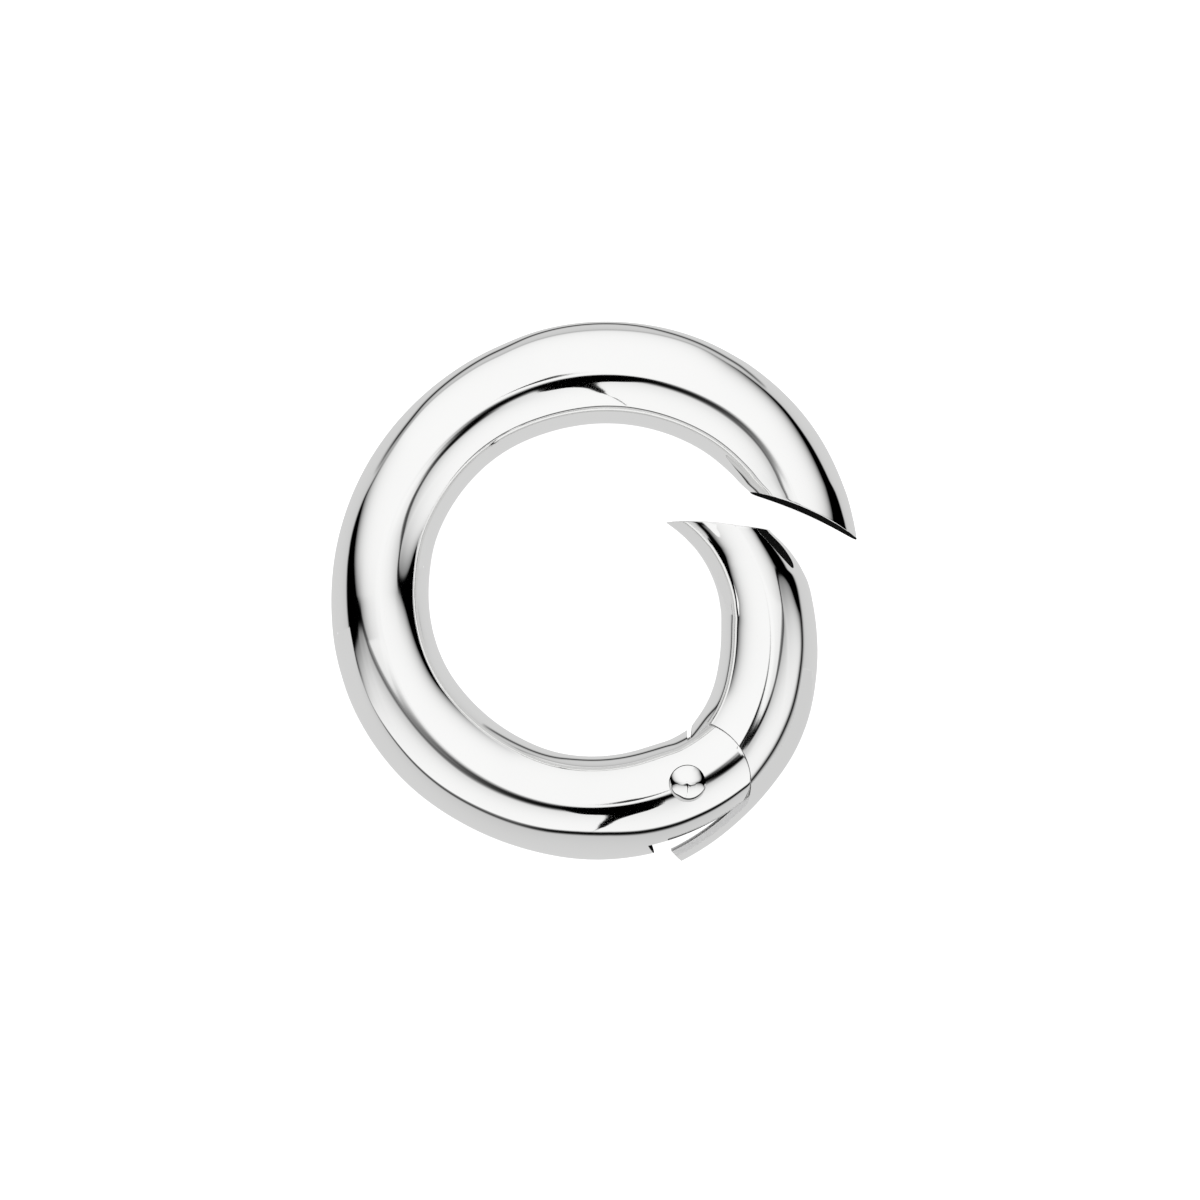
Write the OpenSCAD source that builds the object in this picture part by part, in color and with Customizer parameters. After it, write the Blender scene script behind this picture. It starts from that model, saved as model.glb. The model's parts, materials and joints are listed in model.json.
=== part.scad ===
/* [Wire] */
// Diameter of the round wire
wire_d = 2.2; // [2:0.05:2.4]
// Bend radius of the wire's middle line, from the hinge round to the side
side_r = 4.76; // [4.6:0.02:5]
// Bend radius of the middle line over the top
top_r = 5.09; // [4.9:0.01:5.3]
// Bend radius of the middle line at the tip
tip_r = 3.88; // [3.6:0.02:4.2]
// Angle where the tip bend meets the top bend; a quarter turn on, that one meets the side bend
turn_a = 60; // [50:1:70]

/* [Hinge] */
// Angle of the hinge pin about the middle of the side bend
pin_a = -63.5; // [-66:0.5:-60]
// How far the pin stands inside the ring's middle line
pin_in = 0.08; // [0:0.02:0.2]
// Diameter of the pin's shank
pin_d = 0.56; // [0.4:0.02:0.7]
// Diameter of the pin's ball head
head_d = 0.8; // [0.7:0.02:0.9]
// Radius of the two cheeks' rounded end, about the pin
cheek_r = 1.4; // [1.3:0.02:1.5]
// Width of the slot between the cheeks
slot_w = 1.26; // [1.2:0.02:1.5]
// Distance from the pin's axis to the slot's floor
slot_depth = 1.32; // [1.2:0.02:1.4]
// Angle about the pin, from the slot's direction, where the slot ends at the ring's closed inner side
skin_a = 63; // [60:1:66]

/* [Gate] */
// Bend radius of the gate's middle line
gate_r = 4.5; // [4.3:0.02:4.8]
// How far the pin stands inside the gate's middle line
gate_in = 0.36; // [0.2:0.02:0.4]
// Turn of the gate's bend against the ring's bend, about the pin
gate_turn = -4; // [-8:0.5:0]
// Distance from the pin's axis to the gate's end
gate_reach = 5.8; // [5.4:0.05:6]
// Gap between the gate's end and the ring's tip
mouth_gap = 0.78; // [0.3:0.02:1]
// Angle by which the gate stands open
open_a = 17; // [0:1:40]
// Radius of the gate's eye round the pin
eye_r = 0.7; // [0.64:0.01:0.74]
// Angle about the pin, from the gate's direction, of the tongue's inner flank
flank_a = 41; // [38:1:42]
// Distance along the gate from the pin's axis to where the tail leaves the tongue
tail_root = 0.6; // [0.5:0.02:0.8]
// Thickness of the tail that closes the slot's outer side
tail_t = 0.35; // [0.3:0.01:0.4]

/* [Hidden] */
$fn = 128;

wire_r = wire_d / 2;
// Gap between the tongue and the slot, and between the pin and the gate's eye
run_gap = 0.02;
// Gap between the cheeks' end and the gate's hollow shoulder
shoulder_gap = 0.03;
// Gap round the pin where the cheeks hold it
seat_gap = 0.01;
// How far the neck between the tongue and the eye stands outside the pin's axis
neck = 0.6;
// How far the pin's plain end lies inside the back of the wire
end_in = 0.07;
// Half length of the tools that cut across the wire
reach = 3;
// Angles that the bends run on past the pin, past the tip's join and along the gate, before they are cut
past_pin_a = 35;
past_join_a = 75;
gate_a = 130;

// Middles of the bends on the plan, with the side bend's at zero
top_c = turned([0, side_r - top_r], turn_a);
tip_c = turned([top_r - tip_r, side_r - top_r], turn_a);
pin_c = polar(side_r - pin_in, pin_a);
// Direction of the slot, along the wire at the pin and towards the gate
slot_a = pin_a + 90;
gate_from_pin = polar(gate_r - gate_in, 90 + gate_turn);
gate_c = pin_c + turned(gate_from_pin, slot_a);

// The tail's outer corner in the slot's frame, and its place with the gate open
tail_x = run_gap - slot_depth;
tail_y = gate_from_pin.y - sqrt(pow(gate_r + wire_r, 2) - pow(tail_x - gate_from_pin.x, 2));
tail_point = pin_c + turned([tail_x, tail_y], slot_a + open_a);
tip_point = right_meet(pin_c, gate_reach + mouth_gap, tip_c, tip_r + wire_r);
// The origin is the middle of the plan's bounding box
box_low = [-side_r - wire_r, min(tail_point.y, -side_r - wire_r)];
box_high = [tip_point.x, top_c.y + top_r + wire_r];
origin = (box_low + box_high) / 2;

function polar(r, a) = [r * cos(a), r * sin(a)];

function turned(p, a) = [p.x * cos(a) - p.y * sin(a), p.x * sin(a) + p.y * cos(a)];

// The right-hand one of the two points where a lower and a higher circle meet
function right_meet(low_c, low_r, high_c, high_r) =
    let (way = high_c - low_c)
    let (along = (pow(low_r, 2) - pow(high_r, 2) + way * way) / (2 * norm(way)))
    let (aside = sqrt(pow(low_r, 2) - pow(along, 2)))
    low_c + (way * along + [way.y, -way.x] * aside) / norm(way);

// Stands a piece on the ground, with the plan's box round the origin
module placed() {
    translate([-origin.x, -origin.y, wire_r]) children();
}

// A bend of round wire about c, from angle a0 to angle a1
module bend(c, r, a0, a1) {
    translate(c) rotate(a0) rotate_extrude(angle = a1 - a0) translate([r, 0]) circle(r = wire_r);
}

// An upright cylinder through the wire, about the pin
module about_pin(r) {
    translate(pin_c) cylinder(r = r, h = 2 * reach, center = true);
}

// A block in the slot's frame, from x0 to x1 along the wire and from y0 to y1 across it
module along_slot(x0, x1, y0, y1, thick) {
    translate(pin_c) rotate(slot_a) translate([x0, y0, -thick / 2]) cube([x1 - x0, y1 - y0, thick]);
}

// A plate in the slot's frame, with the given outline
module slot_plate(outline, thick) {
    translate(pin_c) rotate(slot_a) linear_extrude(thick, center = true) polygon(outline);
}

// The wire all the way round, in three bends that run into each other
module ring_wire() {
    rotate(turn_a) {
        bend([0, 0], side_r, 90, 360 + pin_a - turn_a + past_pin_a);
        bend([0, side_r - top_r], top_r, 0, 90);
        bend([top_r - tip_r, side_r - top_r], tip_r, 0, -past_join_a);
    }
}

// The gap that the gate closes, from the cheeks' rounded end to the hollow cut at the tip
module mouth() {
    mouth_r = gate_reach + mouth_gap;
    difference() {
        intersection() {
            about_pin(mouth_r);
            along_slot(0, mouth_r, -mouth_r, mouth_r, 2 * reach);
        }
        about_pin(cheek_r);
    }
}

// The cut between the cheeks: open on the outer side and towards the gate, round about the eye
module slot() {
    slot_plate([[-slot_depth, -reach], [reach, -reach], [reach, 0], polar(reach, skin_a), [0, 0], [-slot_depth, 0]],
        slot_w);
    translate(pin_c) cylinder(r = eye_r + run_gap, h = slot_w, center = true);
}

// The pin with a gap added all round
module pin_shape(gap) {
    shank_h = wire_d - 2 * end_in;
    translate(pin_c) {
        translate([0, 0, -shank_h / 2]) cylinder(d = pin_d + 2 * gap, h = shank_h);
        translate([0, 0, shank_h / 2]) sphere(d = head_d + 2 * gap);
    }
}

module ring_body() {
    color("silver") placed() difference() {
        ring_wire();
        mouth();
        slot();
        about_pin(pin_d / 2 + seat_gap);
        pin_shape(seat_gap);
    }
}

// The gate's round wire, from its hollow shoulder to its end
module gate_arm() {
    difference() {
        intersection() {
            bend(gate_c, gate_r, pin_a - past_pin_a, pin_a + gate_a);
            about_pin(gate_reach);
        }
        about_pin(cheek_r + shoulder_gap);
        along_slot(-reach, 0, -reach, reach, 2 * reach);
    }
}

// The flat stretch between the cheeks: full width beside the arm, then the neck with the eye, and the tail
module gate_tongue() {
    tongue_w = slot_w - 2 * run_gap;
    shoulder_x = cheek_r + shoulder_gap;
    intersection() {
        bend(gate_c, gate_r, pin_a - past_pin_a, pin_a + past_pin_a);
        slot_plate([[0, 0], [0, -neck], [tail_root, -neck], [tail_root, -reach], [shoulder_x, -reach],
            [shoulder_x, shoulder_x * tan(flank_a)]], tongue_w);
    }
    intersection() {
        difference() {
            bend(gate_c, gate_r, pin_a - past_pin_a, pin_a + past_pin_a);
            translate(gate_c) cylinder(r = gate_r + wire_r - tail_t, h = 2 * reach, center = true);
        }
        along_slot(tail_x, cheek_r, -reach, 0, tongue_w);
    }
    translate(pin_c) cylinder(r = eye_r, h = tongue_w, center = true);
}

module gate() {
    color("silver") placed() translate(pin_c) rotate(open_a) translate(-pin_c) difference() {
        union() {
            gate_arm();
            gate_tongue();
        }
        about_pin(pin_d / 2 + run_gap);
    }
}

module hinge_pin() {
    color("gainsboro") placed() pin_shape(0);
}

ring_body();
gate();
hinge_pin();
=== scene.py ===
import json
import math
from functools import partialmethod

import bmesh
import bpy
from mathutils import Matrix, Vector
from mathutils.bvhtree import BVHTree


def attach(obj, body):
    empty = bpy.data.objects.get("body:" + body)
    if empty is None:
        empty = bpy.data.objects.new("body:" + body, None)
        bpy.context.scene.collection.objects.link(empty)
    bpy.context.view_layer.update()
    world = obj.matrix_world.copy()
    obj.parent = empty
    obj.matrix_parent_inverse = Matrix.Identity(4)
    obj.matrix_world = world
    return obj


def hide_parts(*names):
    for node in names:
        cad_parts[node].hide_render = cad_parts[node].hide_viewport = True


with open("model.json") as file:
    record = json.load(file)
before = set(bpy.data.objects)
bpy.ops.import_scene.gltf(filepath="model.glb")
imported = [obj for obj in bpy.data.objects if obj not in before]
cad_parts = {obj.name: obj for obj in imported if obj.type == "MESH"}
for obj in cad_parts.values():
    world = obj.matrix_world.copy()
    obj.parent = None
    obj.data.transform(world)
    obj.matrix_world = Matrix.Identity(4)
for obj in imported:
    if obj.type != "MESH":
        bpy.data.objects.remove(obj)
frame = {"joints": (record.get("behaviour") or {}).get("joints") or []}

bl_info = {
    "name": "Circle connector",
    "version": (1, 0, 0),
    "blender": (4, 5, 0),
    "location": "3D View > Sidebar > Clasp",
    "description": "Builds the silver ring clasp with its hinged gate, and the studio round it",
    "category": "Object",
}

MM = 0.001
FULL_TURN = 2 * math.pi
DEGREES = 180 / math.pi
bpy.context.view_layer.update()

# The hinge's axis in millimetres, and its angle about the middle of the side bend
PIN = Vector(frame["joints"][0]["pos_m"]) / MM
PIN_TURN = math.radians(-63.5)
# Direction of the slot: along the wire at the pin
SLOT_TURN = PIN_TURN + math.pi / 2
# Angle where the tip bend meets the top bend; a quarter turn on, that one meets the side bend
TIP_JOIN = math.radians(60)

# Rows of the wire's mesh along each piece, over each end face and over each rounded edge
RING_ROWS = 400
GATE_ROWS = 220
FACE_ROWS = 14
EDGE_ROWS = 8
# Steps round the bores, the cutting balls, the hollow shoulder, the eye, its pocket and the pin
BORE_STEPS = 64
BALL_STEPS = 96
SHOULDER_STEPS = 96
EYE_STEPS = 192
POCKET_STEPS = 48
PIN_STEPS = 128
# Steps along a profile, as the tail's inner side or the pin's head
PROFILE_STEPS = 24
# Edges sharper than this stay sharp
SHARP = math.radians(35)

# These are in millimetres. Points that are closer together than this are one point
WELD = 0.0002
# How far the cutting tools reach sideways and up, and how far back past the tail
FAR = 3
FAR_BACK = 4
# How far behind the pin the gate's wire starts, and an angle past its end, as it has only one bend
GATE_START = 2.2
NO_JOIN = 9.0
# How much the eye is thinner than the tongue on each side, so that no two faces coincide
SHY = 0.001
# How far the tool that shapes the tongue reaches past it on each side
OVER = 0.1
# Chamfer at the pin's plain end
CHAMFER = 0.05
# How near to the tip's end face, and to the slot's floor, the middles of their faces lie
NEAR_TIP = 0.03
NEAR_FLOOR = 0.02
# Keeps a division by a distance from failing
TINY = 1e-7

# Least share of a normal along the slot that still counts as facing along it
FACING = 0.9

# The finishes of a silver piece, in the order of its materials; the last is near-black painted shade
POLISHED, CUT, PAINTED_SHADE = range(3)

# Noise scales of the polish's clouds and finest marks and of the board's clouds
CLOUD_SCALE = 420.0
GRAIN_SCALE = 26000.0
BOARD_SCALE = 60.0
# The clouds' contrast, and what it starts from
CLOUD_CONTRAST = 1.6
CLOUD_START = -0.4
# Depth of the finest marks in millimetres
GRAIN_DEPTH = 0.002
# How bright the board's darker clouds are against the rest
BOARD_CLOUDS = 0.985


def a_length(name, description, value, low=0.0, precision=5):
    """A length that is given in millimetres."""
    return bpy.props.FloatProperty(
        name=name, description=description, default=value * MM, min=low * MM, unit="LENGTH",
        precision=precision)


def an_angle(name, description, degrees):
    return bpy.props.FloatProperty(
        name=name, description=description, default=math.radians(degrees), subtype="ANGLE")


def a_number(name, description, value, **limits):
    return bpy.props.FloatProperty(name=name, description=description, default=value, min=0, **limits)


def a_colour(name, description, *value):
    return bpy.props.FloatVectorProperty(
        name=name, description=description, subtype="COLOR", size=3, min=0, max=1, default=value)


class ClaspWire(bpy.types.PropertyGroup):
    radius: a_length("Wire radius", "Half the thickness of the round wire", 1.1)
    side_bend: a_length("Side bend", "Bend radius from the hinge round to the side", 4.76)
    top_bend: a_length("Top bend", "Bend radius over the top", 5.09)
    tip_bend: a_length("Tip bend", "Bend radius at the ring's tip", 3.88)
    gate_bend: a_length("Gate bend", "Bend radius of the gate", 4.5)
    edge: a_length("Edge rounding", "How far the polished edges are rounded", 0.035)
    slant: a_length("Gate slant", "How much further the gate's end reaches at its outer side", 0.1)
    lean: a_length("Tip lean", "How far the ring's tip leans back at the front and forward at the back",
                   0.025, precision=6)
    steps: bpy.props.IntProperty(
        name="Steps round the wire", description="Faces round the wire", default=128, min=16)


class ClaspHinge(bpy.types.PropertyGroup):
    pin_in: a_length("Pin offset", "How far the pin stands inside the ring's middle line", 0.08, low=-1)
    gate_in: a_length("Gate offset", "How far the pin stands inside the gate's middle line", 0.36, low=-1)
    gate_lean: an_angle("Gate lean", "Turn of the gate's bend against the ring's bend, about the pin", -4)
    open_turn: an_angle("Gate opening", "Angle by which the gate stands open", 17)
    cheek: a_length("Cheek radius", "Radius of the cheeks' rounded end about the pin", 1.41)
    shoulder: a_length("Shoulder radius", "Radius of the gate's hollow shoulder about the pin", 1.412)
    slot: a_length("Slot width", "Width of the slot between the cheeks", 1.26)
    slot_depth: a_length("Slot depth", "Distance from the pin's axis to the slot's floor", 1.32)
    floor_slant: a_length("Slot floor slant", "How much deeper the slot is at the front", 0.08)
    skin: an_angle("Skin angle", "Angle about the pin where the slot ends at the closed inner side", 63)
    tongue: a_length("Tongue thickness", "Thickness of the gate between the cheeks", 1.22)
    flank: an_angle("Flank angle", "Angle about the pin of the tongue's inner flank", 41)
    eye: a_length("Eye radius", "Radius of the gate's eye round the pin", 0.7)
    neck: a_length("Neck", "How far the neck and the tail's root stand off the pin's axis", 0.6)
    tail: a_length("Tail thickness", "Thickness of the strip that closes the slot's outer side", 0.35)
    mouth: a_length("Mouth radius", "Distance from the pin's axis to the ring's tip", 6.58)
    reach: a_length("Gate reach", "Distance from the pin's axis to the gate's end", 5.8)
    shank: a_length("Pin shank", "Radius of the pin's shank", 0.28)
    head: a_length("Pin head", "Radius of the pin's ball head", 0.4)
    dome: a_length("Dome radius", "Radius of the head's flatter front", 0.55)
    dome_top: a_length("Dome top", "Height of the head above the middle of the wire", 1.37)
    pin_end: a_length("Pin end", "How far the head's middle and the plain end lie inside the wire", 0.07)
    run_gap: a_length("Running gap", "Gap round the moving parts of the hinge", 0.02, precision=6)
    seat_gap: a_length("Seat gap", "Gap round the pin in the cheeks", 0.01, precision=6)


class ClaspFinish(bpy.types.PropertyGroup):
    silver: a_colour("Silver", "Colour of the polished silver", 0.955, 0.955, 0.95)
    cut: a_colour("Cut silver", "Colour of the flat, finely sawn faces", 0.72, 0.72, 0.72)
    # Painted shade: the near-black colour put on the tip's end face and the slot's floor, where they look
    # dark from shade and dark reflection
    dark: a_colour("Dark silver", "Colour of the darkened end faces", 0.008, 0.008, 0.008)
    haze: a_number("Haze", "How much less bright the polish is in its clouds", 0.025, max=1)
    roughness: a_number("Roughness", "Roughness of the polish", 0.035, max=1)
    cut_roughness: a_number("Cut roughness", "Roughness of the sawn faces", 0.35, max=1)
    grain: a_number("Grain", "Depth of the finest polishing marks", 0.02, max=1)


class ClaspStudio(bpy.types.PropertyGroup):
    distance: a_length("Camera distance", "From the camera to the middle of the wire", 104)
    view: a_length("View width", "Width that the camera sees at the middle of the wire", 26.756)
    look_at: bpy.props.FloatVectorProperty(
        name="Camera place", description="Point of the plan that the camera stands over",
        size=2, default=(0.158 * MM, -0.1625 * MM), unit="LENGTH", precision=6)
    floor: a_colour("Floor", "Colour of the pale board", 0.42, 0.42, 0.42)
    floor_glow: a_number("Floor glow", "Light that comes through the board", 0.86)
    sky: a_number("Sky", "Strength of the soft light from all round", 1.0)
    key: a_number("Key light", "Power of the soft lamp", 0.4)
    tent: a_length("Tent radius", "Radius of the light tents", 70)
    ground: a_length("Ground distance", "From the ring's middle to the card that it mirrors as ground", 7.3)
    gate_turn: an_angle("Gate's tent turn", "Turn of the light tent that the gate reflects", 20)


class Builder:
    """Adds nodes to one tree and joins them up."""

    def __init__(self, tree):
        self.tree = tree

    def node(self, kind, **values):
        made = self.tree.nodes.new(kind)
        for name, value in values.items():
            setattr(made, name, value)
        return made

    def fed(self, kind, inputs, **values):
        """A new node whose inputs are given by name."""
        made = self.node(kind, **values)
        for name, value in inputs.items():
            self.put(made.inputs[name], value)
        return made

    def put(self, socket, value):
        if isinstance(value, bpy.types.NodeSocket):
            self.tree.links.new(value, socket)
        elif value is not None:
            socket.default_value = value

    def worked(self, kind, operation, values):
        made = self.node(kind, operation=operation)
        for socket, value in zip(made.inputs, values):
            self.put(socket, value)
        return made.outputs

    def math(self, operation, *values):
        return self.worked("ShaderNodeMath", operation, values)["Value"]

    def vector(self, operation, *values):
        outputs = self.worked("ShaderNodeVectorMath", operation, values)
        return outputs["Value" if operation == "LENGTH" else "Vector"]

    def parts(self, vector):
        return self.fed("ShaderNodeSeparateXYZ", {"Vector": vector}).outputs

    # Scaled is a value times a factor plus a start; below and above give 1 where they are true, else 0
    plus = partialmethod(math, "ADD")
    less = partialmethod(math, "SUBTRACT")
    over = partialmethod(math, "DIVIDE")
    scaled = partialmethod(math, "MULTIPLY_ADD")
    least = partialmethod(math, "MINIMUM")
    most = partialmethod(math, "MAXIMUM")
    below = partialmethod(math, "LESS_THAN")
    above = partialmethod(math, "GREATER_THAN")

    def times(self, first, *others):
        for other in others:
            first = self.math("MULTIPLY", first, other)
        return first

    def rest(self, value):
        return self.less(1.0, value)

    def between(self, value, low, high):
        return self.least(self.most(value, low), high)

    def mix(self, share, a, b):
        return self.scaled(self.less(b, a), share, a)

    def object_place(self):
        return self.node("ShaderNodeTexCoord").outputs["Object"]

    def glow(self, strength):
        return self.fed("ShaderNodeEmission", {"Strength": strength})

    def join(self, kind, first, second):
        """A node of that kind with two shaders."""
        made = self.node(kind)
        self.put(made.inputs[-2], first.outputs[0])
        self.put(made.inputs[-1], second.outputs[0])
        return made

    def surface(self, shader):
        self.fed("ShaderNodeOutputMaterial", {"Surface": shader.outputs[0]})

    def fade(self, distance, over):
        """0 up to distance 0, then rising towards 1 over that way."""
        falling = self.over(self.most(distance, 0.0), -over)
        return self.rest(self.math("EXPONENT", falling))

    def bump(self, distance, width):
        """1 at distance 0, falling to 0 on both sides."""
        off = self.over(distance, width)
        return self.math("EXPONENT", self.times(self.times(off, off), -1.0))

    def band(self, distance, width):
        """1 round distance 0, falling steeply to 0 at the width on both sides."""
        off = self.over(distance, width)
        return self.bump(self.times(off, off), 1.0)

    def line(self, place, points):
        """The height, at a place, of the smooth line through points of place and height."""
        first, last = points[0][0], points[-1][0]
        low = min(height for _, height in points)
        span = max(height for _, height in points) - low
        made = self.node("ShaderNodeFloatCurve")
        made.mapping.extend = "HORIZONTAL"
        curve = made.mapping.curves[0]
        spots = [((at - first) / (last - first), (height - low) / span) for at, height in points]
        curve.points[0].location, curve.points[1].location = spots[0], spots[-1]
        for spot in spots[1:-1]:
            curve.points.new(*spot)
        for point in curve.points:
            point.handle_type = "AUTO_CLAMPED"
        made.mapping.update()
        share = self.scaled(place, 1 / (last - first), -first / (last - first))
        self.put(made.inputs["Value"], self.between(share, 0.0, 1.0))
        return self.scaled(made.outputs[0], span, low)


def new_tree(name, inputs, output, output_kind):
    """A geometry node group with named sockets; inputs holds name, socket kind and default."""
    tree = bpy.data.node_groups.new(name, "GeometryNodeTree")
    for label, kind, default in inputs:
        made = tree.interface.new_socket(name=label, in_out="INPUT", socket_type=kind)
        if default is not None:
            made.default_value = default
    tree.interface.new_socket(name=output, in_out="OUTPUT", socket_type=output_kind)
    build = Builder(tree)
    return tree, build, build.node("NodeGroupInput").outputs, build.node("NodeGroupOutput").inputs


NUMBER, PLACE = "NodeSocketFloat", "NodeSocketVector"


def cut_angle_tree():
    """Angle round a bend at which the wire meets an upright cylinder about the pin."""
    name = "Angle of a cut about the pin"
    if name in bpy.data.node_groups:
        return bpy.data.node_groups[name]
    tree, b, given, result = new_tree(name, [
        ("Offset", NUMBER, 0.0), ("Bend radius", NUMBER, 1.0), ("Bend middle", PLACE, None),
        ("Pin", PLACE, None), ("Cut radius", NUMBER, 1.0), ("Side", NUMBER, 1.0), ("Turn", NUMBER, 0.0)],
        "Angle", NUMBER)
    way = b.vector("SUBTRACT", given["Pin"], given["Bend middle"])
    apart = b.vector("LENGTH", way)
    toward = b.math("ARCTAN2", b.parts(way)["Y"], b.parts(way)["X"])
    out = b.plus(given["Bend radius"], given["Offset"])
    squares = b.plus(b.times(out, out), b.times(apart, apart))
    squares = b.less(squares, b.times(given["Cut radius"], given["Cut radius"]))
    share = b.over(squares, b.times(2.0, out, apart))
    aside = b.times(b.math("ARCCOSINE", b.between(share, -1.0, 1.0)), given["Side"])
    b.put(result["Angle"], b.plus(b.plus(toward, given["Turn"]), aside))
    return tree


def wire_tree(name, outer_width, inner_width):
    """Round wire along three bends, cut at both ends by cylinders about the pin, with rounded edges."""
    tree, b, given, result = new_tree(name, [
        ("Wire radius", NUMBER, 1.1), ("Edge", NUMBER, 0.03),
        ("Start lean", NUMBER, 0.0), ("End slant", NUMBER, 0.0), ("Pin", PLACE, None),
        *[(f"{end} bend {label}", kind, default) for end in ("Start", "Middle", "End")
          for label, kind, default in (("radius", NUMBER, 5.0), ("middle", PLACE, None))],
        ("First join", NUMBER, 1.0), ("Second join", NUMBER, 2.0),
        ("Start cut", NUMBER, 1.0), ("Start side", NUMBER, 1.0),
        ("End cut", NUMBER, 1.0), ("End turn", NUMBER, 0.0),
        ("Steps along", "NodeSocketInt", 200), ("Steps round", "NodeSocketInt", 128),
        ("Material", "NodeSocketMaterial", None)], "Geometry", "NodeSocketGeometry")

    radius, along = given["Wire radius"], given["Steps along"]
    face_rows, edge_rows = float(FACE_ROWS), float(EDGE_ROWS)
    ends = 2 * (face_rows + edge_rows)
    grid = b.fed("GeometryNodeMeshGrid", {
        "Size X": 1.0, "Size Y": 1.0, "Vertices X": b.plus(along, ends + 1.0),
        "Vertices Y": b.plus(given["Steps round"], 1.0)})
    on_grid = b.parts(b.node("GeometryNodeInputPosition").outputs[0])
    row = b.times(b.plus(on_grid["X"], 0.5), b.plus(along, ends))
    turn = b.times(b.plus(on_grid["Y"], 0.5), FULL_TURN)

    def share(first, count):
        """0 up to row first, then rising to 1 over count rows."""
        return b.between(b.over(b.less(row, first), count), 0.0, 1.0)

    face_start = b.rest(share(0.0, face_rows))
    edge_start = b.rest(share(face_rows, edge_rows))
    length = share(face_rows + edge_rows, along)
    last = b.plus(along, face_rows + edge_rows)
    edge_end = share(last, edge_rows)
    face_end = share(b.plus(last, edge_rows), face_rows)

    # The wire's own width on the plan changes a little on its way, on the outer and the inner side
    outward, upward = b.math("COSINE", turn), b.math("SINE", turn)
    outer_share = b.scaled(outward, 0.5, 0.5)
    width = b.mix(outer_share, b.line(length, inner_width), b.line(length, outer_width))
    out = b.times(outward, width)
    edge = given["Edge"]

    def squared(value):
        return b.times(value, value)

    pull = b.times(edge, squared(b.most(edge_start, edge_end)))
    closing = b.times(b.rest(face_start), b.rest(face_end))
    size = b.times(b.less(radius, pull), closing)

    def cut(offset, bend, cut_radius, side, extra):
        return b.fed("GeometryNodeGroup", {
            "Offset": b.times(offset, out), "Bend radius": given[bend + " bend radius"],
            "Bend middle": given[bend + " bend middle"], "Pin": given["Pin"], "Cut radius": cut_radius,
            "Side": side, "Turn": extra}, node_tree=cut_angle_tree()).outputs["Angle"]

    def end_angle(bend, cut_radius, side, extra, rounded, way):
        """The row's angle near one end: on the wire, round the edge, then on the end face."""
        inside = b.least(size, b.less(radius, edge))
        over = b.mix(squared(rounded), cut(radius, bend, cut_radius, side, extra),
                     cut(inside, bend, cut_radius, side, extra))
        back = b.over(b.times(squared(b.rest(rounded)), edge), given[bend + " bend radius"])
        return b.scaled(back, way, over)

    leaning = b.plus(given["Start cut"], b.times(given["Start lean"], upward, closing))
    slanted = b.plus(given["End cut"], b.times(given["End slant"], b.most(outward, 0.0), closing))
    start = end_angle("Start", leaning, given["Start side"], 0.0, edge_start, 1.0)
    finish = end_angle("End", slanted, 1.0, given["End turn"], edge_end, -1.0)
    angle = b.mix(length, start, finish)

    def past(join, kind, before, after):
        """One value on the bend before the join, and the other after it."""
        return b.fed("GeometryNodeSwitch", {
            "Switch": b.above(angle, given[join]), "False": before, "True": after},
            input_type=kind).outputs[0]

    def of_bend(kind, label):
        first = past("First join", kind, given["Start bend " + label], given["Middle bend " + label])
        return past("Second join", kind, first, given["End bend " + label])

    from_middle = b.scaled(size, out, of_bend("FLOAT", "radius"))
    spot = b.fed("ShaderNodeCombineXYZ", {
        "X": b.times(from_middle, b.math("COSINE", angle)),
        "Y": b.times(from_middle, b.math("SINE", angle)), "Z": b.times(size, upward)})
    shape = grid.outputs["Mesh"]
    for kind, inputs in (
            ("SetPosition", {"Position": b.vector("ADD", of_bend("VECTOR", "middle"), spot.outputs[0])}),
            ("MergeByDistance", {"Distance": WELD}), ("SetShadeSmooth", {}), ("RealizeInstances", {}),
            ("SetMaterial", {"Material": given["Material"]})):
        shape = b.fed("GeometryNode" + kind, {"Geometry": shape, **inputs}).outputs[0]
    b.put(result["Geometry"], shape)
    return tree


def new_thing(name, mesh):
    thing = bpy.data.objects.new(name, mesh)
    bpy.context.scene.collection.objects.link(thing)
    return thing


def thing_of(name, form):
    """A new thing of a bmesh, which is used up."""
    mesh = bpy.data.meshes.new(name)
    form.to_mesh(mesh)
    form.free()
    return new_thing(name, mesh)


def flatten(thing):
    """Gives the thing a plain mesh of its shape with its modifiers, and takes them away."""
    graph = bpy.context.evaluated_depsgraph_get()
    mesh = bpy.data.meshes.new_from_object(
        thing.evaluated_get(graph), preserve_all_data_layers=True, depsgraph=graph)
    thing.modifiers.clear()
    old, thing.data = thing.data, mesh
    bpy.data.meshes.remove(old)


def grown(name, tree, values, materials):
    """A new thing made by a node tree, as a plain mesh of the first of the materials."""
    thing = new_thing(name, bpy.data.meshes.new(name))
    modifier = thing.modifiers.new(name, "NODES")
    modifier.node_group = tree
    values["Material"] = materials[0]
    for item in tree.interface.items_tree:
        if item.in_out == "INPUT" and item.name in values:
            modifier[item.identifier] = values[item.name]
    flatten(thing)
    form = bmesh.new()
    form.from_mesh(thing.data)
    bmesh.ops.recalc_face_normals(form, faces=form.faces)
    form.to_mesh(thing.data)
    form.free()
    thing.data.materials.clear()
    for material in materials:
        thing.data.materials.append(material)
    return thing


def at_pin(turn):
    """From the slot's frame, along the wire at the pin, to the plan, in millimetres."""
    return Matrix.Translation(PIN) @ Matrix.Rotation(turn, 4, "Z")


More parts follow.
